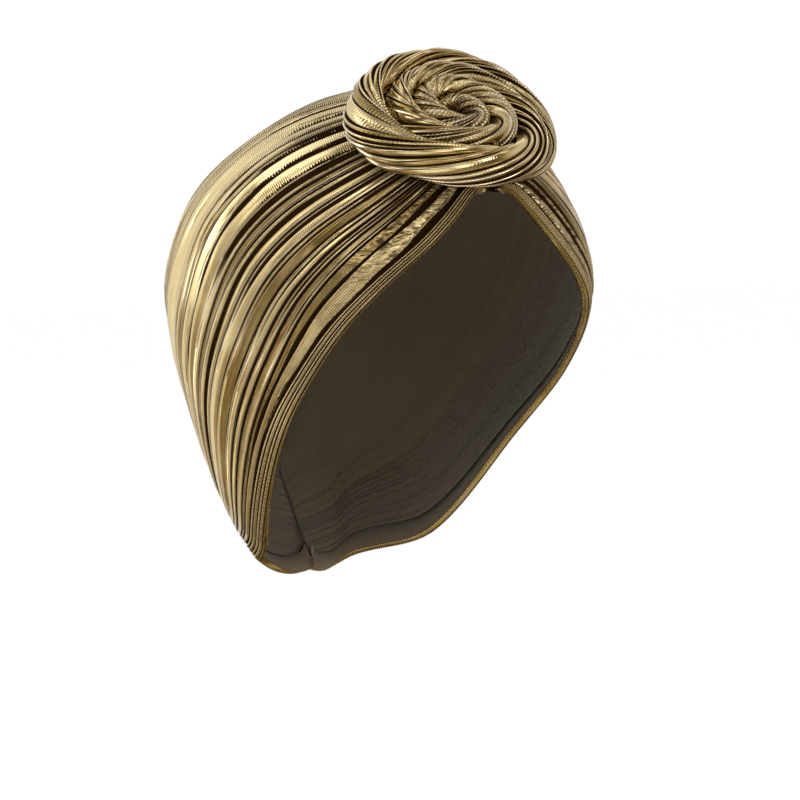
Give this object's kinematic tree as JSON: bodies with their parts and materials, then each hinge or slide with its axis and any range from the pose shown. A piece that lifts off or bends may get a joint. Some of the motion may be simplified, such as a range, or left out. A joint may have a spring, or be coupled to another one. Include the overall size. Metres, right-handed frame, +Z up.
{
  "type": "turban hat",
  "caption": "Soft turban cap of pleated gold knit cloth with a flat coiled knot at the front and a ribbed hem round the face opening.",
  "frame": {"origin": "the inside of the crown at its highest point, where the hat sits on a head", "axes": "+Z up, -Y out of the face opening, +X towards the wearer's left"},
  "size_m": [0.1684, 0.1875, 0.2203],
  "materials": {
    "crown_cloth": "pleated metallic gold knit, dark in the folds",
    "hem_cloth": "fine ribbed gold knit",
    "knot_cloth": "twisted pleats of metallic gold knit"
  },
  "bodies": {
    "root": {"crown": "crown_cloth", "face_hem_right": "hem_cloth", "face_hem_left": "hem_cloth", "knot_coil": "knot_cloth"}
  },
  "joints": []
}
